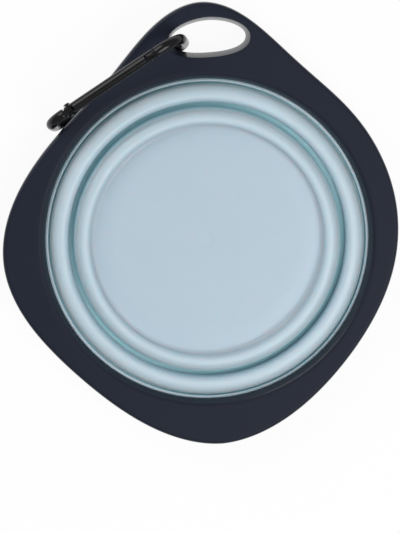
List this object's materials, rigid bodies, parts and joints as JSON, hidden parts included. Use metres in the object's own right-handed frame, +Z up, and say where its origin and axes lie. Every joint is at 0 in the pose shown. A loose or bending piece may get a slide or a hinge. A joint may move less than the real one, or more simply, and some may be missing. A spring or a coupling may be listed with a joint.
{
  "type": "collapsible travel bowl",
  "caption": "Folding pet travel bowl: soft ringed cup that collapses flat inside a stiff diamond-shaped rim with a hanging hole and a clipped carabiner.",
  "frame": {"origin": "centre of the flat underside of the bowl's base", "axes": "+Z up along the bowl's axis, towards its mouth; +Y from the axis to the hanging hole; +X to the right seen from above"},
  "size_m": [0.1623, 0.1829, 0.0297],
  "materials": {
    "rim_plastic": "charcoal blue polypropylene with a fine satin moulded texture",
    "soft_bowl": "pale blue thermoplastic rubber, satin, slightly translucent",
    "black_hook": "black anodised aluminium, semi gloss",
    "small_steel": "steel pin stock, blackened to match the clip"
  },
  "bodies": {
    "base": {"base_cup": "soft_bowl"},
    "middle": {"middle_ring": "soft_bowl", "lower_fold": "soft_bowl"},
    "rim": {"rim_frame": "rim_plastic", "bowl_collar": "soft_bowl", "upper_fold": "soft_bowl"},
    "carabiner": {"carabiner_hook": "black_hook", "gate_rivet": "small_steel"},
    "gate": {"carabiner_gate": "black_hook", "gate_latch_pin": "small_steel", "gate_spring": "small_steel", "gate_plunger": "small_steel"}
  },
  "joints": [
    {"name": "lower_unfold", "type": "slide", "parent": "base", "child": "middle", "axis": [0, 0, 1], "range_m": [0, 0.025], "deforming": ["lower_fold"]},
    {"name": "upper_unfold", "type": "slide", "parent": "middle", "child": "rim", "axis": [0, 0, 1], "range_m": [0, 0.022], "deforming": ["upper_fold"]},
    {"name": "carabiner_swing", "type": "hinge", "parent": "rim", "child": "carabiner", "pos_m": [-0.00986, 0.08138, 0.0027], "axis": [0, 0, 1], "range_deg": [-210, 0]},
    {"name": "gate_open", "type": "hinge", "parent": "carabiner", "child": "gate", "pos_m": [-0.05578, 0.05481, 0.01304], "axis": [-0.5254, 0.8206, -0.225], "range_deg": [0, 13.5], "stiffness_Nm_per_rad": 0.05, "springref_deg": -20.05}
  ]
}
